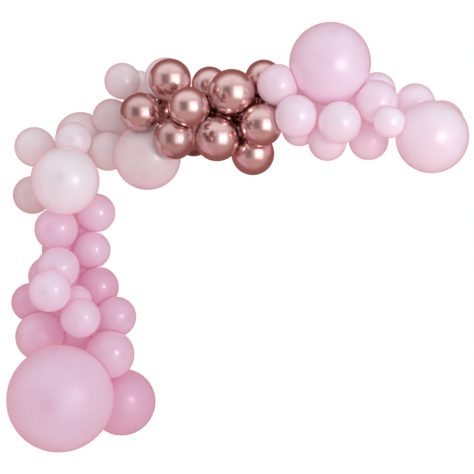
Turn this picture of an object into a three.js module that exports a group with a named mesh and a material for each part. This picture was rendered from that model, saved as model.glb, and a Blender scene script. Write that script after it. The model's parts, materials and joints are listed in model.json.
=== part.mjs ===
// A balloon garland in the shape of an upside-down L, made to hang on a wall: a column of pink balloons, a blush
// corner, a cluster of rose-gold chrome balloons and an arm of pale pink ones, all tied along one plastic strip.
// Millimetres. +Z is up, +X runs along the arm, and +Y points into the wall, which is the plane y = 0.
// The origin is on the back of the strip, in the middle of its corner bend, where the garland's main hook goes.
import * as THREE from "three";

// The strip: flat against the wall, straight down the column, round the corner and straight along the arm.
const STRIP_WIDTH = 16;
const STRIP_THICKNESS = 1;
const BEND_RADIUS = 340;
const BEND_STEPS = 10;
const COLUMN_RUN = 1300;
const ARM_RUN = 1700;

// How the balloons lie together.
const WALL_GAP = 4; // between the wall and the nearest balloons
const PRESS = 0.13; // the most that two balloons press into each other, as a share of their two radii
const RIM_LOSS = 0.04; // the most that a front balloon's rim gives to one behind it, as a share of its radius
const FACE_GAP = 0.3; // left between two faces that press on each other

// One balloon. The crown is half a sphere, and the other half draws out to a neck that ends in a knot.
const NECK_REACH = 1.12; // centre to neck, in radii
const KNOT_RADIUS = 8;
const KNOT_LENGTH = 16;
const LARGE_DIAMETER = 320; // from this size on a balloon has finer facets
const COMMON_FACETS = { around: 12, upTheCrown: 3 };
const LARGE_FACETS = { around: 16, upTheCrown: 4 };

const FILMS = {
  pink: { color: 0xe9aecb, roughness: 0.32, metalness: 0 },
  blush: { color: 0xe8cfcf, roughness: 0.32, metalness: 0 },
  rose_gold: { color: 0xb9776f, roughness: 0.18, metalness: 1 },
  pale_pink: { color: 0xf0c6d2, roughness: 0.32, metalness: 0 },
};
const STRIP_PLASTIC = { color: 0xe6e9ea, roughness: 0.15, metalness: 0 };

// The film that each stretch of the garland is made of.
const FILM_OF = { column: "pink", corner: "blush", chrome: "rose_gold", arm: "pale_pink" };

// Every balloon as [diameter, x, z], with a name of its own where it is one of the large ones, and a film where it
// isn't its stretch's. The rows count from the wall outwards: row 1 lies against the wall, and each later balloon
// rests in the hollow between those of the rows behind it, which settles how far it stands out.
const ROWS = [
  {
    column: [
      [140, -55, -615],
      [155, -45, -855],
      [155, -190, -1100],
      [235, -60, -1240],
      [380, 200, -1600, "foot_large"],
    ],
    corner: [[210, 285, 216], [220, -335, -405], [230, -320, -125], [288, -46, -70]],
    chrome: [[165, 425, 90], [200, 790, 45], [130, 980, 140], [210, 700, 240], [250, 952, -165]],
    arm: [[210, 1315, 125], [140, 1535, 145], [255, 2050, 16], [230, 1628, -86]],
  },
  {
    column: [[215, -170, -720], [225, -340, -1030], [225, 40, -510], [235, 60, -940]],
    corner: [[220, 145, 30], [240, 450, 260], [205, 210, 235]],
    chrome: [[215, 1015, 275], [258, 746, -89], [245, 995, -15]],
    arm: [[200, 1220, -25], [220, 1675, 200], [226, 1880, 117]],
  },
  {
    column: [
      [215, 20, -725],
      [230, -220, -875],
      [280, -270, -1220],
      [230, 170, -1105],
      [245, -165, -605],
      [185, -50, -1010],
    ],
    corner: [[220, 130, -165]],
    chrome: [[270, 830, 170], [236, 488, 221]],
    arm: [
      [218, 1378, -105],
      [235, 1090, 210],
      [460, 1385, 330, "arm_top_large", "pink"],
      [404, 1947, -92, "arm_end_large"],
    ],
  },
  {
    column: [[275, 145, -1310], [240, -135, -825], [220, 0, -1095]],
    corner: [[205, -55, -110], [370, 363, -203, "corner_inner_large"]],
    arm: [[240, 1190, 25], [240, 1645, 110], [240, 1430, -15]],
  },
  {
    column: [[578, -102, -1530, "foot_giant"], [230, -150, -940]],
    corner: [[375, -85, -340, "corner_outer_large"]],
    chrome: [[220, 335, 25], [224, 522, -122]],
    arm: [[175, 1695, -20]],
  },
  {
    chrome: [[215, 600, 40]],
  },
];

// The strip's outline, whose second axis becomes Z, and the middle line that the necks are tied to.
function stripOutline() {
  const inset = BEND_RADIUS * (1 - Math.cos(Math.PI / 4));
  const centre = { x: BEND_RADIUS - inset, z: inset - BEND_RADIUS };
  const foot = centre.z - COLUMN_RUN;
  const tip = centre.x + ARM_RUN;
  const half = STRIP_WIDTH / 2;

  const outline = new THREE.Shape();
  outline.moveTo(-inset - half, foot);
  outline.absarc(centre.x, centre.z, BEND_RADIUS + half, Math.PI, Math.PI / 2, true);
  outline.lineTo(tip, inset + half);
  outline.lineTo(tip, inset - half);
  outline.absarc(centre.x, centre.z, BEND_RADIUS - half, Math.PI / 2, Math.PI, false);
  outline.lineTo(-inset + half, foot);
  outline.closePath();

  const middle = new THREE.Path();
  middle.moveTo(-inset, foot);
  middle.absarc(centre.x, centre.z, BEND_RADIUS, Math.PI, Math.PI / 2, true);
  middle.lineTo(tip, inset);
  return { outline, middle };
}

function strip(outline) {
  const geometry = new THREE.ExtrudeGeometry(outline, {
    depth: STRIP_THICKNESS,
    bevelEnabled: false,
    curveSegments: BEND_STEPS,
  });
  geometry.rotateX(Math.PI / 2);
  const mesh = new THREE.Mesh(geometry, new THREE.MeshStandardMaterial(STRIP_PLASTIC));
  mesh.name = "garland_strip";
  return mesh;
}

// The balloons of ROWS, named and in order from the wall outwards.
function listed() {
  const counts = {};
  const balloons = [];
  for (const row of ROWS) {
    for (const [stretch, members] of Object.entries(row)) {
      for (const [diameter, x, z, ownName, ownFilm] of members) {
        if (!ownName) counts[stretch] = (counts[stretch] ?? 0) + 1;
        const name = ownName ? `${ownName}_balloon` : `${stretch}_balloon_${counts[stretch]}`;
        balloons.push({ name, film: ownFilm ?? FILM_OF[stretch], radius: diameter / 2, x, z });
      }
    }
  }
  return balloons;
}

// How far in front of another a balloon stands when their centres are `aside` from each other as seen from the
// front: so far that they press no deeper than PRESS, and that the front one keeps its round outline.
function standOff(front, back, aside) {
  const touching = front.radius + back.radius;
  if (aside >= touching) return 0;
  const pressed = (touching * (1 - PRESS)) ** 2 - aside ** 2;
  const round = back.radius ** 2 - (aside - front.radius) ** 2 - 2 * aside * front.radius * RIM_LOSS;
  return Math.sqrt(Math.max(pressed, round, 0));
}

// Pushes each balloon towards the wall until the wall or a balloon behind it stops it.
function settle(balloons) {
  const placed = [];
  for (const balloon of balloons) {
    let y = -(balloon.radius + WALL_GAP);
    for (const other of placed) {
      const aside = Math.hypot(balloon.x - other.centre.x, balloon.z - other.centre.z);
      const off = standOff(balloon, other, aside);
      if (off > 0) y = Math.min(y, other.centre.y - off);
    }
    placed.push({ ...balloon, centre: new THREE.Vector3(balloon.x, y, balloon.z) });
  }
  return placed;
}

// A neck points at the nearest place on the strip that is no closer than the neck is long.
function neckDirection(balloon, ties) {
  const length = balloon.radius * NECK_REACH + KNOT_LENGTH;
  let best = Infinity;
  let chosen = ties[0];
  for (const tie of ties) {
    const distance = tie.distanceTo(balloon.centre);
    if (distance >= length && distance < best) {
      best = distance;
      chosen = tie;
    }
  }
  return chosen.clone().sub(balloon.centre).normalize();
}

// Half the outline of a balloon about the Y axis. It is listed from the middle of the crown to the tip of the knot,
// and handed on the other way round, which turns the lathe's faces outwards.
function profile(radius, steps) {
  const neck = radius * NECK_REACH;
  const points = [];
  for (let step = 0; step <= steps; step++) {
    const angle = ((step / steps) * Math.PI) / 2;
    points.push(new THREE.Vector2(step ? radius * Math.sin(angle) : 0, radius * Math.cos(angle)));
  }
  for (let step = 1; step < steps; step++) {
    const angle = ((step / steps) * Math.PI) / 2;
    points.push(new THREE.Vector2(radius * Math.cos(angle), -neck * Math.sin(angle)));
  }
  points.push(new THREE.Vector2(KNOT_RADIUS, -neck));
  points.push(new THREE.Vector2(0, -neck - KNOT_LENGTH));
  return points.reverse();
}

// Flattens a balloon, whose geometry is about its own centre, where it presses on the others and on the wall.
// Two balloons share the plane in which their spheres meet, and each stays on its own side of it.
function press(geometry, balloon, balloons) {
  const faces = [{ normal: new THREE.Vector3(0, 1, 0), distance: -balloon.centre.y - STRIP_THICKNESS - FACE_GAP }];
  for (const other of balloons) {
    if (other === balloon) continue;
    const normal = other.centre.clone().sub(balloon.centre);
    const apart = normal.length();
    const share = (apart ** 2 + balloon.radius ** 2 - other.radius ** 2) / (2 * apart);
    faces.push({ normal: normal.divideScalar(apart), distance: share - FACE_GAP / 2 });
  }
  const position = geometry.attributes.position;
  const point = new THREE.Vector3();
  for (let i = 0; i < position.count; i++) {
    point.fromBufferAttribute(position, i);
    for (const { normal, distance } of faces) {
      const height = point.dot(normal);
      if (height > distance) point.multiplyScalar(distance / height);
    }
    position.setXYZ(i, point.x, point.y, point.z);
  }
}

function balloonMesh(balloon, balloons, ties) {
  const facets = balloon.radius * 2 >= LARGE_DIAMETER ? LARGE_FACETS : COMMON_FACETS;
  const geometry = new THREE.LatheGeometry(profile(balloon.radius, facets.upTheCrown), facets.around);
  const crown = neckDirection(balloon, ties).negate();
  geometry.applyQuaternion(new THREE.Quaternion().setFromUnitVectors(new THREE.Vector3(0, 1, 0), crown));
  press(geometry, balloon, balloons);
  geometry.computeVertexNormals();
  const mesh = new THREE.Mesh(geometry, new THREE.MeshStandardMaterial(FILMS[balloon.film]));
  mesh.name = balloon.name;
  mesh.position.copy(balloon.centre);
  return mesh;
}

const { outline, middle } = stripOutline();
const tieSpacing = 20;
const tieCount = Math.round(middle.getLength() / tieSpacing);
const tieDepth = -(STRIP_THICKNESS + KNOT_RADIUS);
const ties = middle.getSpacedPoints(tieCount).map((point) => new THREE.Vector3(point.x, tieDepth, point.y));
const balloons = settle(listed());

const garland = new THREE.Group();
garland.add(strip(outline));
for (const balloon of balloons) garland.add(balloonMesh(balloon, balloons, ties));

export default garland;
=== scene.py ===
"""A balloon garland on a wall: a column of baby-pink balloons, a blush corner, a rose-gold chrome
cluster and a pale-pink arm, all tied along one clear strip.

Metres. +Z is up, +Y points into the wall, and the origin is on the hook behind the strip's corner.
"""

import json
import math

import bpy
import numpy as np
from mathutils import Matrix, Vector


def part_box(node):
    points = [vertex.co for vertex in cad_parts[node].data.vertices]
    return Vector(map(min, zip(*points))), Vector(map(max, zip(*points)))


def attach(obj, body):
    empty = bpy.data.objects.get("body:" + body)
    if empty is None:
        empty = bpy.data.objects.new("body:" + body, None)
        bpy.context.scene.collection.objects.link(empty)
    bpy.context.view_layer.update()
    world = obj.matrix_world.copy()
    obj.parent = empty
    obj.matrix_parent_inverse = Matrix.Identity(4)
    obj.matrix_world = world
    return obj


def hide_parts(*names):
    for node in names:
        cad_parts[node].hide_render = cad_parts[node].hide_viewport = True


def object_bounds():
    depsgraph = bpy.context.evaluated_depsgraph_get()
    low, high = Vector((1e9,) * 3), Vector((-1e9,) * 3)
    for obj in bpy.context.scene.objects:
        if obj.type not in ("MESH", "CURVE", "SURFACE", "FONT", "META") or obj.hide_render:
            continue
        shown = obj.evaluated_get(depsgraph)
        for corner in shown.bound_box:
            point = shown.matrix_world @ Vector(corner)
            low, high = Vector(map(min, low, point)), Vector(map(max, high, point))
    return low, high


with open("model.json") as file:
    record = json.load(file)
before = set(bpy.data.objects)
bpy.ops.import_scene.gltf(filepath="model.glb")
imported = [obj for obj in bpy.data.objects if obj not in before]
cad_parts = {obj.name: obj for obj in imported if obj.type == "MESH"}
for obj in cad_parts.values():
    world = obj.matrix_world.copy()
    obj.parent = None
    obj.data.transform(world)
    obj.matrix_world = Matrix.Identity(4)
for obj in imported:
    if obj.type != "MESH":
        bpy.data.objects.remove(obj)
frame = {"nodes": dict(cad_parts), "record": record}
cad_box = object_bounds()

# The balloon's own measures. The rest of it follows from the sphere that its solid is cut from.
NECK_REACH = 1.12  # centre to neck, in radii
KNOT_RADIUS = 0.008
KNOT_LENGTH = 0.016
SKIN_SHARE = 0.86  # of the way from the crown to the tip, and the knot has the rest
FACE_GAP = 0.0003  # between two faces that press on each other
PRESS_BLEND = 0.0035  # how softly the skin turns into the flat of a contact
PRESS_REACH = 1.4  # how far off a contact may be, in radii, to count at all

# The knot's outline between the neck, where it starts at its first width, and the tip, where it closes:
# how far along it, and how wide there, in knot radii.
KNOT_START = 0.6
KNOT_OUTLINE = ((0.22, 0.95), (0.42, 0.9), (0.58, 0.45), (0.75, 0.7), (0.88, 1.0), (0.96, 0.86))

# The strip, as it is cut and bent.
STRIP = "garland_strip"
STRIP_WIDTH = 0.016
STRIP_THICKNESS = 0.001
BEND_RADIUS = 0.34
HOLE_PITCH = 0.025
HOLE_RADIUS = 0.0038
TIE_SPACING = 0.01  # between the places where a knot can be tied

# A balloon's facets: around it, and from its crown to the tip of its knot. Large ones have more.
LARGE_RADIUS = 0.16
COMMON_FACETS = (88, 66)
LARGE_FACETS = (144, 104)

# Small balloons squeezed in behind the others: a name, the film's slot, x and z of its middle, and how
# far out from the wall that may be.
FILLER_PRESS = 0.2  # how far the two balloons of a contact may give, as a share of their radii
WALL_GAP = 0.004
FILLERS = (
    ("chrome_filler_1", "rose_gold_chrome", (0.608, -0.070), 0.12),
    ("chrome_filler_2", "rose_gold_chrome", (0.872, -0.035), 0.15),
    ("chrome_filler_3", "rose_gold_chrome", (1.073, 0.107), 0.15),
    ("chrome_filler_4", "rose_gold_chrome", (0.440, 0.030), 0.12),
    ("chrome_filler_5", "rose_gold_chrome", (0.660, 0.090), 0.15),
    ("chrome_filler_6", "rose_gold_chrome", (0.380, 0.150), 0.15),
    ("corner_filler_1", "blush_latex", (0.214, -0.040), 0.15),
    ("column_filler_1", "pink_latex", (-0.068, -0.500), 0.15),
    ("column_filler_2", "pink_latex", (-0.075, -0.925), 0.20),
    ("column_filler_3", "pink_latex", (0.070, -1.180), 0.20),
    ("arm_filler_1", "pale_pink_latex", (1.216, 0.193), 0.15),
    ("arm_filler_2", "pale_pink_latex", (1.322, 0.010), 0.20),
    ("arm_filler_3", "pale_pink_latex", (1.600, 0.030), 0.15),
)

# How far a balloon's film is stretched, which makes it paler, and how far it is out of painted shade.
# It goes from 0 near the wall, in full painted shade, to 1 at its slot's far distance from the wall, and
# some balloons have a value of their own, which sets their painted shade too.
STRETCH_AND_LIGHT_NEAR = 0.10
STRETCH_AND_LIGHT_FAR = {"pink_latex": 0.80, "blush_latex": 0.50, "pale_pink_latex": 0.80, "rose_gold_chrome": 0.25}
OWN_STRETCH_AND_LIGHT = {
    "foot_giant_balloon": 0.42,
    "foot_large_balloon": 0.0,
    "column_balloon_7": 0.5,
    "column_balloon_9": 0.42,
    "column_balloon_11": 0.35,
    "column_balloon_13": 0.42,
    "column_balloon_14": 0.5,
    "column_balloon_16": 0.55,
    "corner_inner_large_balloon": 0.45,
    "corner_balloon_1": 1.0,
    "corner_balloon_2": 0.35,
    "corner_balloon_3": 0.75,
    "corner_balloon_4": 0.6,
    "corner_balloon_5": 0.35,
    "corner_balloon_6": 1.0,
    "corner_balloon_7": 0.6,
    "corner_balloon_9": 0.75,
    "chrome_balloon_4": 1.0,
    "chrome_balloon_5": 1.0,
    "chrome_balloon_6": 1.0,
    "chrome_balloon_7": 1.0,
    "chrome_balloon_8": 1.0,
    "chrome_balloon_11": 0.8,
    "chrome_balloon_12": 0.72,
    "arm_top_large_balloon": 0.68,
    "arm_balloon_6": 0.5,
    "arm_balloon_7": 0.5,
}


# ---- small helpers -------------------------------------------------------------------------------------

def wire(tree, kind, sockets=None, **settings):
    """A new node with its settings made, and its inputs set to values or linked to other sockets."""
    node = tree.nodes.new(kind)
    for name, value in settings.items():
        setattr(node, name, value)
    for key, value in (sockets or {}).items():
        if isinstance(value, bpy.types.NodeSocket):
            tree.links.new(value, node.inputs[key])
        else:
            node.inputs[key].default_value = value
    return node


def maths(tree, operation, *terms):
    return wire(tree, "ShaderNodeMath", dict(enumerate(terms)), operation=operation).outputs[0]


def ramp(tree, value, low, high, start=0.0, end=1.0):
    """A smooth change from start to end while value goes from low to high."""
    sockets = {"Value": value, "From Min": low, "From Max": high, "To Min": start, "To Max": end}
    return wire(tree, "ShaderNodeMapRange", sockets, interpolation_type="SMOOTHSTEP").outputs["Result"]


def mixed(tree, share, first, second):
    """A colour on the way from the first to the second."""
    return wire(tree, "ShaderNodeMix", {0: share, 6: first, 7: second}, data_type="RGBA").outputs[2]


def tree_with(name, kind, inputs, outputs):
    """A node group with named sockets, given as (name, type, default)."""
    tree = bpy.data.node_groups.new(name, kind)
    for label, socket, default in inputs:
        made = tree.interface.new_socket(name=label, in_out="INPUT", socket_type="NodeSocket" + socket)
        if default is not None:
            made.default_value = default
    for label, socket in outputs:
        tree.interface.new_socket(name=label, in_out="OUTPUT", socket_type="NodeSocket" + socket)
    return tree, tree.nodes.new("NodeGroupInput"), tree.nodes.new("NodeGroupOutput")


def grown(tree, name, values):
    """The plain mesh that a geometry tree makes with these input values."""
    maker = bpy.data.objects.new(name, bpy.data.meshes.new(name))
    bpy.context.scene.collection.objects.link(maker)
    modifier = maker.modifiers.new("grow", "NODES")
    modifier.node_group = tree
    sockets = {item.name: item.identifier for item in tree.interface.items_tree if item.in_out == "INPUT"}
    for label, value in values.items():
        modifier[sockets[label]] = value
    depsgraph = bpy.context.evaluated_depsgraph_get()
    mesh = bpy.data.meshes.new_from_object(maker.evaluated_get(depsgraph), depsgraph=depsgraph)
    maker.modifiers.clear()
    bpy.data.objects.remove(maker)
    mesh.name = name
    return mesh


def as_piece(name, mesh, node):
    """Makes a finished mesh a piece of the garland, in place of a CAD node if one is named."""
    piece = bpy.data.objects.new(name, mesh)
    bpy.context.scene.collection.objects.link(piece)
    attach(piece, "root")
    if node:
        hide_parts(node)
    return piece


def points_of(mesh):
    """A mesh's points, one to a row."""
    found = np.empty(len(mesh.vertices) * 3, np.float32)
    mesh.vertices.foreach_get("co", found)
    return found.reshape(-1, 3).astype(float)


# ---- what the CAD frame says ---------------------------------------------------------------------------

def sphere_of(node):
    """Centre and radius of the sphere that a balloon's solid is cut from: of the spheres through four of
    its points, taken at random, the one that most of them lie on."""
    tries = 6000
    flat = 1e-7  # four points that lie this nearly in one plane give no sphere
    near = 2e-5  # a point this near to a sphere lies on it
    points = np.unique(points_of(frame["nodes"][node].data).round(6), axis=0)
    rng = np.random.default_rng(5)
    picks = np.argsort(rng.random((tries, len(points))), axis=1)[:, :4]
    fours = points[picks]
    system = np.concatenate([2 * fours, np.ones((tries, 4, 1))], axis=2)
    sound = np.abs(np.linalg.det(system)) > flat
    answer = np.linalg.solve(system[sound], (fours[sound] ** 2).sum(2)[..., None])[..., 0]
    centres = answer[:, :3]
    radii = np.sqrt(np.maximum(answer[:, 3] + (centres ** 2).sum(1), 0))
    off = np.abs(np.linalg.norm(points[None] - centres[:, None], axis=2) - radii[:, None])
    best = (off < near).sum(1).argmax()
    return centres[best], float(radii[best])


def strip_line():
    """Points along the middle of the strip, foot to tip, just in front of it, where the knots sit."""
    low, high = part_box(STRIP)
    half = STRIP_WIDTH / 2
    column, level = low[0] + half, high[2] - half
    bend = (column + BEND_RADIUS, level - BEND_RADIUS)
    run = np.arange(low[2], bend[1], TIE_SPACING)
    turn = np.linspace(math.pi, math.pi / 2, 56)
    arm = np.arange(bend[0], high[0], TIE_SPACING)
    x = np.concatenate([np.full(len(run), column), bend[0] + BEND_RADIUS * np.cos(turn), arm])
    z = np.concatenate([run, bend[1] + BEND_RADIUS * np.sin(turn), np.full(len(arm), level)])
    return np.stack([x, np.full(len(x), -STRIP_THICKNESS - KNOT_RADIUS), z], axis=1)


def crown_direction(centre, radius, line):
    """Away from the nearest place on the strip that is no closer than the neck is long."""
    distance = np.linalg.norm(line - centre, axis=1)
    distance[distance < radius * NECK_REACH + KNOT_LENGTH] = np.inf
    away = centre - line[distance.argmin()]
    return away / np.linalg.norm(away)


def stretch_of(name, slot, centre):
    """A balloon's own value for stretch and painted shade, or else the one that its distance from the wall
    gives: the nearer the wall, the more painted shade.
    """
    share = (-centre[1] - STRETCH_AND_LIGHT_NEAR) / (STRETCH_AND_LIGHT_FAR[slot] - STRETCH_AND_LIGHT_NEAR)
    return OWN_STRETCH_AND_LIGHT.get(name, float(min(max(share, 0.0), 1.0)))


def balloon_at(name, slot, centre, radius, line, node=None):
    """What the other functions need to know of a balloon. Its node is the CAD's, if it has one."""
    return {"name": name, "node": node, "slot": slot, "centre": centre, "radius": radius,
            "stretch": stretch_of(name, slot, centre), "crown": crown_direction(centre, radius, line)}


def filler(name, slot, place, furthest, balloons, line):
    """The largest balloon that fits between the others at this x and z, up to this far from the wall."""
    centres = np.array([balloon["centre"] for balloon in balloons])
    radii = np.array([balloon["radius"] for balloon in balloons])
    best = None
    for depth in np.linspace(-KNOT_RADIUS, -furthest, 80):
        centre = np.array([place[0], depth, place[1]])
        free = np.linalg.norm(centres - centre, axis=1) / (1 - FILLER_PRESS) - radii
        radius = float(min(free.min(), -depth - WALL_GAP))
        if best is None or radius > best[1]:
            best = (centre, radius)
    return balloon_at(name, slot, *best, line)


def all_balloons():
    """The frame's balloons, and the fillers, each of which fits in between those before it."""
    line = strip_line()
    slots = {part["node"]: part["material_slot"] for part in frame["record"]["subparts"]}
    balloons = []
    for node in sorted(frame["nodes"]):
        if node != STRIP:
            balloons.append(balloon_at(node, slots[node], *sphere_of(node), line, node))
    for given in FILLERS:
        balloons.append(filler(*given, balloons, line))
    return balloons


# ---- one inflated balloon ------------------------------------------------------------------------------

def balloon_tree():
    """A balloon about its own centre, crown up: half a sphere, a half that draws out to the neck, and
    the knot."""
    tree, given, result = tree_with("inflated balloon", "GeometryNodeTree", [
        ("Radius", "Float", 0.12), ("Neck Reach", "Float", NECK_REACH),
        ("Knot Radius", "Float", KNOT_RADIUS), ("Knot Length", "Float", KNOT_LENGTH),
        ("Stretch And Light", "Float", 0.5), ("Sides", "Int", COMMON_FACETS[0]), ("Rings", "Int", COMMON_FACETS[1]),
        ("Film", "Material", None)], [("Geometry", "Geometry")])
    radius, reach, knot, length, stretch, sides, rings, film = given.outputs[:8]
    sheet = wire(tree, "GeometryNodeMeshGrid", {
        "Size X": 1.0, "Size Y": 1.0, "Vertices X": maths(tree, "ADD", sides, 1.0),
        "Vertices Y": maths(tree, "ADD", rings, 1.0)})
    kept = wire(tree, "GeometryNodeStoreNamedAttribute", {
        "Geometry": sheet.outputs["Mesh"], "Name": "UVMap", "Value": sheet.outputs["UV Map"]},
        data_type="FLOAT2", domain="CORNER")
    position = tree.nodes.new("GeometryNodeInputPosition").outputs[0]
    place = wire(tree, "ShaderNodeSeparateXYZ", {0: position})
    around = maths(tree, "MULTIPLY", maths(tree, "ADD", place.outputs[0], 0.5), 2 * math.pi)
    along = maths(tree, "ADD", place.outputs[1], 0.5)

    # The skin takes the first part of the way from crown to tip, and the knot the rest.
    skin = maths(tree, "MINIMUM", maths(tree, "DIVIDE", along, SKIN_SHARE), 1.0)
    tail = maths(tree, "MAXIMUM", maths(tree, "DIVIDE", maths(tree, "SUBTRACT", along, SKIN_SHARE),
                                        1 - SKIN_SHARE), 0.0)
    polar = maths(tree, "MULTIPLY", skin, math.pi)
    height = maths(tree, "COSINE", polar)
    depth = maths(tree, "MAXIMUM", maths(tree, "MULTIPLY", height, -1.0), 0.0)
    crown = maths(tree, "MAXIMUM", height, 0.0)

    # Past the widest ring the outline is a power of the circle's that bends there just as the sphere does.
    flare = maths(tree, "MULTIPLY", maths(tree, "MULTIPLY", reach, reach), 0.5)
    power = maths(tree, "ADD", 0.5, maths(tree, "MULTIPLY", maths(tree, "GREATER_THAN", depth, 0.0),
                                          maths(tree, "SUBTRACT", flare, 0.5)))
    level = maths(tree, "SUBTRACT", 1.0, maths(tree, "MULTIPLY", height, height))
    width = maths(tree, "POWER", maths(tree, "MAXIMUM", level, 0.0), power)
    body = maths(tree, "MULTIPLY", radius, width)

    # The knot: a tight neck, the bulge of the knot, and the rolled lip that flares behind it.
    outline = wire(tree, "ShaderNodeFloatCurve", {"Factor": 1.0, "Value": tail})
    curve = outline.mapping.curves[0]
    curve.points[0].location = (0.0, KNOT_START)
    curve.points[1].location = (1.0, 0.0)
    for spot in KNOT_OUTLINE:
        curve.points.new(*spot)
    outline.mapping.update()
    neck = maths(tree, "MULTIPLY", maths(tree, "MULTIPLY", knot, outline.outputs[0]),
                 ramp(tree, depth, 0.55, 1.0))
    wide = maths(tree, "SQRT", maths(tree, "ADD", maths(tree, "MULTIPLY", body, body),
                                     maths(tree, "MULTIPLY", neck, neck)))
    low = maths(tree, "ADD", maths(tree, "MULTIPLY", maths(tree, "MULTIPLY", depth, reach), radius),
                maths(tree, "MULTIPLY", tail, length))
    spot = wire(tree, "ShaderNodeCombineXYZ", {
        0: maths(tree, "MULTIPLY", wide, maths(tree, "COSINE", around)),
        1: maths(tree, "MULTIPLY", wide, maths(tree, "SINE", around)),
        2: maths(tree, "SUBTRACT", maths(tree, "MULTIPLY", crown, radius), low)})
    shaped = wire(tree, "GeometryNodeSetPosition", {
        "Geometry": kept.outputs[0], "Position": spot.outputs[0]})
    closed = wire(tree, "GeometryNodeMergeByDistance", {"Geometry": shaped.outputs[0], "Distance": 1e-6})
    turned = wire(tree, "GeometryNodeFlipFaces", {"Mesh": closed.outputs[0]})
    # The stretch-and-light value goes to the film, which paints shade from it as well as paleness.
    marked = wire(tree, "GeometryNodeStoreNamedAttribute", {
        "Geometry": turned.outputs[0], "Name": "stretch", "Value": stretch},
        data_type="FLOAT", domain="POINT")
    smooth = wire(tree, "GeometryNodeSetShadeSmooth", {"Geometry": marked.outputs[0]})
    solid = wire(tree, "GeometryNodeRealizeInstances", {"Geometry": smooth.outputs[0]})
    coloured = wire(tree, "GeometryNodeSetMaterial", {"Geometry": solid.outputs[0], "Material": film})
    tree.links.new(coloured.outputs[0], result.inputs[0])
    return tree


def pressed(points, balloon, balloons):
    """The skin's points, about the balloon's own centre, held back by each neighbour and by the wall.
    A point keeps its direction, and its distance is a soft minimum of its own and of the distance to
    each contact."""
    contacts = [(np.array([0.0, 1.0, 0.0]), -balloon["centre"][1] - STRIP_THICKNESS - FACE_GAP)]
    for other in balloons:
        if other is balloon:
            continue
        apart = other["centre"] - balloon["centre"]
        distance = np.linalg.norm(apart)
        share = (distance ** 2 + balloon["radius"] ** 2 - other["radius"] ** 2) / (2 * distance)
        if share < balloon["radius"] * PRESS_REACH:
            contacts.append((apart / distance, share - FACE_GAP / 2))
    tiny = 1e-6
    steepest = 60  # keeps the exponential within what a number can hold
    least = 0.1  # the share of its distance that a point always keeps
    reach = np.maximum(np.linalg.norm(points, axis=1), tiny)
    lost = np.ones(len(points))
    for normal, limit in contacts:
        height = np.maximum(points @ normal / reach, tiny)
        lost += np.exp(np.clip((reach - limit / height) / PRESS_BLEND, -steepest, steepest))
    kept = reach - PRESS_BLEND * np.log(lost)
    return points * (np.maximum(kept, least * reach) / reach)[:, None]


def balloon_piece(balloon, balloons, tree):
    """One balloon, turned and placed, and pressed against its neighbours and the wall."""
    sides, rings = LARGE_FACETS if balloon["radius"] > LARGE_RADIUS else COMMON_FACETS
    name = balloon["name"] + "_skin"
    mesh = grown(tree, name, {
        "Radius": balloon["radius"], "Neck Reach": NECK_REACH, "Knot Radius": KNOT_RADIUS,
        "Knot Length": KNOT_LENGTH, "Stretch And Light": balloon["stretch"], "Sides": sides, "Rings": rings,
        "Film": film_of(balloon["slot"], balloon["radius"])})
    turn = np.array(Vector((0, 0, 1)).rotation_difference(Vector(balloon["crown"])).to_matrix())
    placed = pressed(points_of(mesh) @ turn.T, balloon, balloons) + balloon["centre"]
    mesh.vertices.foreach_set("co", placed.astype(np.float32).ravel())
    mesh.update()
    return as_piece(name, mesh, balloon["node"])


# ---- the strip -----------------------------------------------------------------------------------------

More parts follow.
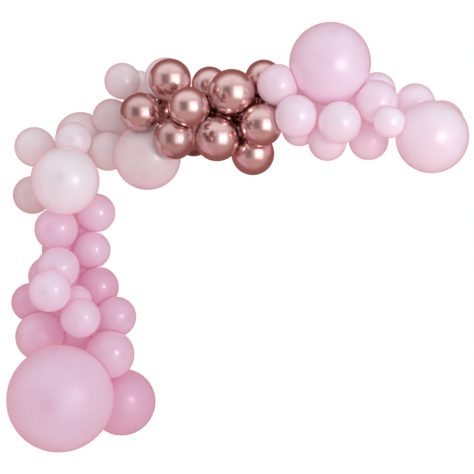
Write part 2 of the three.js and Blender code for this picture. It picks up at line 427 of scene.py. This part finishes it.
def strip_tree():
    """A flat strip with a row of holes: one link with a hole, repeated in a straight line, then bent
    along the strip's route, which is two straight runs and a quarter turn."""
    tree, given, result = tree_with("holed strip", "GeometryNodeTree", [
        ("Foot", "Vector", None), ("Corner", "Vector", None), ("Tip", "Vector", None),
        ("Bend Radius", "Float", BEND_RADIUS), ("Width", "Float", STRIP_WIDTH),
        ("Thickness", "Float", STRIP_THICKNESS), ("Hole Pitch", "Float", HOLE_PITCH),
        ("Hole Radius", "Float", HOLE_RADIUS), ("Plastic", "Material", None)], [("Geometry", "Geometry")])
    foot, corner, tip, bend, width, thickness, pitch, hole, plastic = given.outputs[:9]

    line = wire(tree, "GeometryNodeCurvePrimitiveLine", {"Start": foot, "End": tip})
    three = wire(tree, "GeometryNodeResampleCurve", {"Curve": line.outputs[0], "Count": 3})
    index = tree.nodes.new("GeometryNodeInputIndex").outputs[0]
    middle = wire(tree, "FunctionNodeCompare", {2: index, 3: 1}, data_type="INT", operation="EQUAL")
    angled = wire(tree, "GeometryNodeSetPosition", {
        "Geometry": three.outputs[0], "Selection": middle.outputs[0], "Position": corner})
    route = wire(tree, "GeometryNodeFilletCurve", {
        "Curve": angled.outputs[0], "Count": 40, "Radius": bend}, mode="POLY")
    whole = wire(tree, "GeometryNodeCurveLength", {"Curve": route.outputs[0]}).outputs[0]
    count = maths(tree, "ROUND", maths(tree, "DIVIDE", whole, pitch))
    step = maths(tree, "DIVIDE", whole, count)

    plate = wire(tree, "GeometryNodeCurvePrimitiveQuadrilateral", {"Width": step, "Height": width})
    ring = wire(tree, "GeometryNodeCurvePrimitiveCircle", {"Resolution": 20, "Radius": hole})
    both = wire(tree, "GeometryNodeJoinGeometry")
    tree.links.new(plate.outputs[0], both.inputs[0])
    tree.links.new(ring.outputs[0], both.inputs[0])
    link = wire(tree, "GeometryNodeFillCurve", {"Curve": both.outputs[0]})
    onwards = wire(tree, "ShaderNodeCombineXYZ", {0: step}).outputs[0]
    first = wire(tree, "ShaderNodeCombineXYZ", {0: maths(tree, "DIVIDE", step, 2.0)}).outputs[0]
    row = wire(tree, "GeometryNodeMeshLine", {"Count": count, "Offset": onwards, "Start Location": first})
    links = wire(tree, "GeometryNodeInstanceOnPoints", {
        "Points": row.outputs[0], "Instance": link.outputs[0]})
    flat = wire(tree, "GeometryNodeRealizeInstances", {"Geometry": links.outputs[0]})
    joined = wire(tree, "GeometryNodeMergeByDistance", {"Geometry": flat.outputs[0], "Distance": 1e-5})
    slab = wire(tree, "GeometryNodeExtrudeMesh", {
        "Mesh": joined.outputs[0], "Offset Scale": thickness, "Individual": False})
    under = wire(tree, "GeometryNodeFlipFaces", {"Mesh": joined.outputs[0]})
    closed = wire(tree, "GeometryNodeJoinGeometry")
    tree.links.new(slab.outputs[0], closed.inputs[0])
    tree.links.new(under.outputs[0], closed.inputs[0])
    sealed = wire(tree, "GeometryNodeMergeByDistance", {"Geometry": closed.outputs[0], "Distance": 1e-5})

    position = tree.nodes.new("GeometryNodeInputPosition").outputs[0]
    place = wire(tree, "ShaderNodeSeparateXYZ", {0: position})
    sample = wire(tree, "GeometryNodeSampleCurve", {
        "Curves": route.outputs[0], "Length": place.outputs[0]}, mode="LENGTH")
    wall = wire(tree, "ShaderNodeCombineXYZ", {0: 0.0, 1: -1.0, 2: 0.0}).outputs[0]
    across = wire(tree, "ShaderNodeVectorMath", {
        0: wall, 1: sample.outputs["Tangent"]}, operation="CROSS_PRODUCT")
    aside = wire(tree, "ShaderNodeVectorMath", {
        0: across.outputs[0], "Scale": place.outputs[1]}, operation="SCALE")
    out = wire(tree, "ShaderNodeVectorMath", {0: wall, "Scale": place.outputs[2]}, operation="SCALE")
    off = wire(tree, "ShaderNodeVectorMath", {0: aside.outputs[0], 1: out.outputs[0]})
    spot = wire(tree, "ShaderNodeVectorMath", {0: sample.outputs["Position"], 1: off.outputs[0]})
    bent = wire(tree, "GeometryNodeSetPosition", {
        "Geometry": sealed.outputs[0], "Position": spot.outputs[0]})
    solid = wire(tree, "GeometryNodeRealizeInstances", {"Geometry": bent.outputs[0]})
    coloured = wire(tree, "GeometryNodeSetMaterial", {"Geometry": solid.outputs[0], "Material": plastic})
    tree.links.new(coloured.outputs[0], result.inputs[0])
    return tree


def strip_piece(plastic):
    """The strip, as wide and long as the frame's, with its holes."""
    low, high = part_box(STRIP)
    half = STRIP_WIDTH / 2
    mesh = grown(strip_tree(), "strip_with_holes", {
        "Foot": (low[0] + half, 0.0, low[2]), "Corner": (low[0] + half, 0.0, high[2] - half),
        "Tip": (high[0], 0.0, high[2] - half), "Bend Radius": BEND_RADIUS, "Width": STRIP_WIDTH,
        "Thickness": STRIP_THICKNESS, "Hole Pitch": HOLE_PITCH, "Hole Radius": HOLE_RADIUS,
        "Plastic": plastic})
    return as_piece("strip_with_holes", mesh, STRIP)


# ---- finishes ------------------------------------------------------------------------------------------

FILM = "stretched film"
CROWN_SHARE = 0.07  # of the way from the crown to the tip: how far the dense spot at the crown reaches
NECK_SHARE = 0.6  # of the same way: where the film starts to thicken towards the neck

# Each kind of latex: its film's colour where it is thin and in the light, its colour where it is thick,
# which is also its painted shade, and its painted glow.
LATEXES = {
    "pink_latex": ((0.87, 0.90, 0.95), (0.71, 0.44, 0.56), (0.15, 0.06, 0.09)),
    "blush_latex": ((0.92, 0.88, 0.91), (0.63, 0.47, 0.47), (0.11, 0.08, 0.08)),
    "pale_pink_latex": ((0.86, 0.90, 0.93), (0.80, 0.66, 0.73), (0.15, 0.09, 0.11)),
}
# Chrome's thick colour, nearly black-red, is painted shade for the deep chrome balloons and the gaps
# between them.
CHROMES = {"rose_gold_chrome": ((0.84, 0.60, 0.58), (0.24, 0.06, 0.05))}

# The larger a latex balloon, the duller its shine: the roughness of the shine up to each radius.
SHINES = ((0.16, 0.05), (0.25, 0.24), (0.40, 0.48))


def film_group():
    """What the film of a balloon shows: slow clouding where it is thicker, a denser crown and neck, where
    it is stretched least, painted shade towards the thick colour on balloons near the wall, and faint
    streaks that run round it, as rubber shows when it is drawn out."""
    tree, given, result = tree_with(FILM, "ShaderNodeTree", [
        ("Thin And Lit", "Color", (0.8, 0.8, 0.8, 1)), ("Thick And Shaded", "Color", (0.5, 0.5, 0.5, 1)),
        ("Clouding", "Float", 0.3), ("Cloud Size", "Float", 5.0), ("Streaks", "Float", 40.0),
        ("Roughness", "Float", 0.35), ("Unevenness", "Float", 0.04)],
        [("Color", "Color"), ("Roughness", "Float"), ("Height", "Float")])
    thin_and_lit, thick_and_shaded, clouding, size, streaks, rough, uneven = given.outputs[:7]
    place = tree.nodes.new("ShaderNodeTexCoord").outputs["Object"]
    along = wire(tree, "ShaderNodeSeparateXYZ", {
        0: wire(tree, "ShaderNodeUVMap", uv_map="UVMap").outputs[0]}).outputs[1]
    clouds = wire(tree, "ShaderNodeTexNoise", {"Vector": place, "Scale": size, "Detail": 2.0})
    crown = ramp(tree, along, 0.0, CROWN_SHARE, 0.14, 0.0)
    neck = ramp(tree, along, NECK_SHARE, SKIN_SHARE)
    cloud = maths(tree, "MULTIPLY", ramp(tree, clouds.outputs[0], 0.3, 0.7), clouding)
    # Painted shade: a low stretch-and-light value, given to balloons near the wall, pulls the film to its
    # thick colour.
    stretch = wire(tree, "ShaderNodeAttribute", attribute_name="stretch").outputs["Fac"]
    slack_and_shade = maths(tree, "SUBTRACT", 1.0, stretch)
    patches_and_shade = maths(tree, "ADD", slack_and_shade, maths(tree, "ADD", cloud, crown))
    share = wire(tree, "ShaderNodeMath", {0: patches_and_shade, 1: neck}, operation="MAXIMUM", use_clamp=True)
    drawn = wire(tree, "ShaderNodeTexNoise", {
        "Vector": place, "W": maths(tree, "MULTIPLY", along, streaks), "Scale": 7.0, "Detail": 3.0},
        noise_dimensions="4D")
    drift = maths(tree, "MULTIPLY", maths(tree, "SUBTRACT", drawn.outputs[0], 0.5), uneven)
    tree.links.new(mixed(tree, share.outputs[0], thin_and_lit, thick_and_shaded), result.inputs[0])
    tree.links.new(maths(tree, "ADD", rough, drift), result.inputs[1])
    tree.links.new(drawn.outputs[0], result.inputs[2])
    return tree


def fresh_material(name):
    """A material with one plain shader in it, and that shader and its tree."""
    material = bpy.data.materials.new(name)
    material.use_nodes = True
    tree = material.node_tree
    tree.nodes.clear()
    shader = wire(tree, "ShaderNodeBsdfPrincipled")
    wire(tree, "ShaderNodeOutputMaterial", {"Surface": shader.outputs[0]})
    return material, tree, shader


def set_plain(shader, values):
    """Sets what is the same all over the surface, straight on a shader's or a group's own sockets."""
    for label, value in values.items():
        shader.inputs[label].default_value = value


def with_film(tree, shader, values, bump_strength):
    """Places the film group, and leads its colour, roughness and streaks to the shader."""
    group = bpy.data.node_groups.get(FILM) or film_group()
    skin = wire(tree, "ShaderNodeGroup", node_tree=group)
    set_plain(skin, values)
    tree.links.new(skin.outputs["Color"], shader.inputs["Base Color"])
    tree.links.new(skin.outputs["Roughness"], shader.inputs["Roughness"])
    bump = wire(tree, "ShaderNodeBump", {
        "Strength": bump_strength, "Distance": 0.002, "Height": skin.outputs["Height"]})
    tree.links.new(bump.outputs[0], shader.inputs["Normal"])


def latex(name, thin_and_lit, thick_and_shaded, painted_glow, shine):
    """Inflated latex: a soft skin that light soaks into, with a satin bloom under a shine. The glow is
    painted light: an emission that stands in for light coming through the film, and lifts the shade in the
    gaps."""
    material, tree, shader = fresh_material(name)
    with_film(tree, shader, {
        "Thin And Lit": (*thin_and_lit, 1), "Thick And Shaded": (*thick_and_shaded, 1), "Clouding": 0.12, "Streaks": 12.0, "Roughness": 0.4,
        "Unevenness": 0.05}, bump_strength=0.03)
    set_plain(shader, {
        "Subsurface Weight": 1.0, "Subsurface Radius": (1.0, 0.5, 0.55), "Subsurface Scale": 0.035,
        "IOR": 1.7, "Coat Weight": 0.8, "Coat Roughness": shine, "Coat IOR": 1.5,
        "Sheen Weight": 0.9, "Sheen Roughness": 0.3, "Sheen Tint": (1.0, 0.36, 0.42, 1),
        # Emission: painted glow that lightens the shaded gaps between balloons.
        "Emission Color": (*painted_glow, 1), "Emission Strength": 1.0})
    return material


def chrome_latex(name, thin_and_lit, thick_and_shaded):
    """Chrome-effect latex: fine metal flake in a rubber film, drawn into faint rings, under a clear
    surface."""
    material, tree, shader = fresh_material(name)
    with_film(tree, shader, {
        "Thin And Lit": (*thin_and_lit, 1), "Thick And Shaded": (*thick_and_shaded, 1), "Clouding": 0.08, "Streaks": 60.0, "Roughness": 0.19,
        "Unevenness": 0.14}, bump_strength=0.13)
    set_plain(shader, {
        "Metallic": 1.0, "Specular Tint": (0.75, 0.33, 0.30, 1),
        "Coat Weight": 1.0, "Coat Roughness": 0.12, "Coat IOR": 1.8})
    return material


def film_of(slot, radius):
    """The film's material for a balloon of this size, which is made when the first balloon asks for it."""
    if slot in CHROMES:
        name = f"{slot} film"
        return bpy.data.materials.get(name) or chrome_latex(name, *CHROMES[slot])
    shine = next(roughness for largest, roughness in SHINES if radius <= largest)
    name = f"{slot} film, shine {shine}"
    return bpy.data.materials.get(name) or latex(name, *LATEXES[slot], shine)


def clear_plastic(name):
    """The strip's clear, glossy plastic."""
    material, tree, shader = fresh_material(name)
    set_plain(shader, {
        "Base Color": (0.9, 0.92, 0.93, 1), "Roughness": 0.12, "IOR": 1.46, "Transmission Weight": 0.85})
    return material


# ---- the room ------------------------------------------------------------------------------------------

def window_group():
    """A soft-edged rectangle in the room around the garland: 1 inside it and 0 outside. Its angles are
    in degrees."""
    tree, given, result = tree_with("patch of the room", "ShaderNodeTree", [
        ("Around", "Float", 0.0), ("Up", "Float", 0.0), ("Middle Around", "Float", 0.0),
        ("Middle Up", "Float", 0.0), ("Half Width", "Float", 10.0), ("Half Height", "Float", 10.0),
        ("Blur", "Float", 3.0)], [("Mask", "Float")])
    around, up, mid_around, mid_up, wide, tall, blur = given.outputs[:7]
    masks = []
    for place, middle, half in ((around, mid_around, wide), (up, mid_up, tall)):
        off = maths(tree, "ABSOLUTE", maths(tree, "SUBTRACT", place, middle))
        inner = maths(tree, "SUBTRACT", half, blur)
        outer = maths(tree, "ADD", half, blur)
        masks.append(ramp(tree, off, inner, outer, 1.0, 0.0))
    tree.links.new(maths(tree, "MULTIPLY", *masks), result.inputs[0])
    return tree


# The softbox in front of the garland, to its right: its place, what it faces, its side and its watts.
SOFTBOX = (2.9, -3.5, -0.4)
SOFTBOX_AIM = (0.9, -0.2, -0.4)
SOFTBOX_SIDE = 1.1
SOFTBOX_POWER = 26.0

# What else shines on the garland: a cool light from the front right, and a warm one from everywhere else.
MAIN_LIGHT = (28, 24)  # degrees around and up
LIT = (0.625, 0.69, 0.75)
FILL = (0.81, 0.62, 0.64)

# What its chrome and its shine mirror, as middle around and up, half width and height, and blur, with a
# light's colour and strength after them. Around counts from the front of the garland to its right.
ROOM = {
    "broad fill": (34, -3, 24, 27, 5, (0.90, 1.0, 1.03), 0.86),
    "left window": (-62, 8, 14, 36, 5, (1.0, 0.93, 0.93), 0.10),
}
DARK_FIGURE = (-24, -2, 18, 24, 5)
DARK = (0.28, 0.20, 0.20)
WALLS = (0.62, 0.50, 0.50)
CEILING = (0.90, 0.87, 0.89)
GROUND = (0.60, 0.40, 0.38)
BEHIND = (0.36, 0.15, 0.14)


def shining(tree, direction):
    """The light that falls on the garland, softly stronger towards the main light."""
    around, up = (math.radians(angle) for angle in MAIN_LIGHT)
    towards = (math.sin(around) * math.cos(up), -math.cos(around) * math.cos(up), math.sin(up))
    facing = wire(tree, "ShaderNodeVectorMath", {0: direction, 1: towards}, operation="DOT_PRODUCT")
    return mixed(tree, ramp(tree, facing.outputs["Value"], -0.5, 1.0), (*FILL, 1), (*LIT, 1))


def mirrored(tree, direction):
    """The room around the garland, as its chrome shows it."""
    axes = wire(tree, "ShaderNodeSeparateXYZ", {0: direction})
    degrees = 180 / math.pi
    front = maths(tree, "MULTIPLY", axes.outputs[1], -1.0)
    around = maths(tree, "MULTIPLY", maths(tree, "ARCTAN2", axes.outputs[0], front), degrees)
    up = maths(tree, "MULTIPLY", maths(tree, "ARCSINE", axes.outputs[2]), degrees)
    patch = window_group()

    def mask(middle_around, middle_up, wide, tall, blur):
        return wire(tree, "ShaderNodeGroup", {
            "Around": around, "Up": up, "Middle Around": middle_around, "Middle Up": middle_up,
            "Half Width": wide, "Half Height": tall, "Blur": blur}, node_tree=patch).outputs[0]

    colour = mixed(tree, ramp(tree, up, 15.0, 50.0), (*WALLS, 1), (*CEILING, 1))
    colour = mixed(tree, ramp(tree, up, -2.0, -40.0), colour, (*GROUND, 1))
    colour = mixed(tree, ramp(tree, front, 0.35, -0.35), colour, (*BEHIND, 1))
    for *patch_shape, tint, strength in ROOM.values():
        full = tuple(strength * part for part in tint)
        light = wire(tree, "ShaderNodeVectorMath", {
            0: full, "Scale": mask(*patch_shape)}, operation="SCALE")
        colour = wire(tree, "ShaderNodeVectorMath", {0: colour, 1: light.outputs[0]}).outputs[0]
    return mixed(tree, mask(*DARK_FIGURE), colour, (*DARK, 1))


def room():
    """A white studio to the camera, soft light to whatever it falls on, and a furnished room to what is
    shiny."""
    world = bpy.data.worlds.new("studio")
    bpy.context.scene.world = world
    world.use_nodes = True
    tree = world.node_tree
    tree.nodes.clear()
    direction = tree.nodes.new("ShaderNodeTexCoord").outputs["Generated"]
    path = tree.nodes.new("ShaderNodeLightPath")
    plain = wire(tree, "ShaderNodeBackground", {"Color": (1, 1, 1, 1)})
    shine = wire(tree, "ShaderNodeBackground", {"Color": shining(tree, direction)})
    mirror = wire(tree, "ShaderNodeBackground", {"Color": mirrored(tree, direction)})
    hidden = wire(tree, "ShaderNodeMixShader", {
        0: path.outputs["Is Glossy Ray"], 1: shine.outputs[0], 2: mirror.outputs[0]})
    whole = wire(tree, "ShaderNodeMixShader", {
        0: path.outputs["Is Camera Ray"], 1: hidden.outputs[0], 2: plain.outputs[0]})
    wire(tree, "ShaderNodeOutputWorld", {"Surface": whole.outputs[0]})


def softbox():
    """The lamp whose small bright square shows in every balloon's shine."""
    lamp = bpy.data.lights.new("softbox", "AREA")
    lamp.shape = "SQUARE"
    lamp.size = SOFTBOX_SIDE
    lamp.energy = SOFTBOX_POWER
    made = bpy.data.objects.new("softbox", lamp)
    made.location = SOFTBOX
    made.rotation_euler = (Vector(SOFTBOX_AIM) - Vector(SOFTBOX)).to_track_quat("-Z", "Y").to_euler()
    made.visible_camera = False
    bpy.context.scene.collection.objects.link(made)


def floor():
    """A pale round floor well below the garland, which hangs clear of it."""
    material, tree, shader = fresh_material("pale floor")
    set_plain(shader, {
        "Base Color": (0.93, 0.92, 0.92, 1), "Roughness": 0.8, "Emission Color": (1, 1, 1, 1),
        "Emission Strength": 0.55})
    drop = 0.35  # from the lowest balloon
    middle = (Vector(cad_box[0]) + Vector(cad_box[1])) / 2
    bpy.ops.mesh.primitive_circle_add(
        vertices=96, radius=3.2, fill_type="NGON", location=(middle.x, middle.y, cad_box[0][2] - drop))
    ground = bpy.context.object
    ground.name = "floor"
    ground.data.materials.append(material)
    ground.visible_glossy = False
    ground.visible_diffuse = False
    ground.visible_shadow = False


def camera():
    """Straight on, level with the middle of the garland."""
    distance = 6.0
    width_at_the_wall = 2.8203
    middle = (0.86, -0.65)
    view = bpy.data.cameras.new("front")
    view.sensor_width = 36.0
    view.lens = view.sensor_width * distance / width_at_the_wall
    made = bpy.data.objects.new("front", view)
    made.location = (middle[0], -distance, middle[1])
    made.rotation_euler = (math.pi / 2, 0, 0)
    bpy.context.scene.collection.objects.link(made)
    bpy.context.scene.camera = made


# ---- building ------------------------------------------------------------------------------------------

camera()
room()
softbox()
floor()
balloons = all_balloons()
tree = balloon_tree()
for balloon in balloons:
    balloon_piece(balloon, balloons, tree)
strip_piece(clear_plastic("clear strip plastic"))

bpy.context.scene.view_settings.view_transform = "Standard"
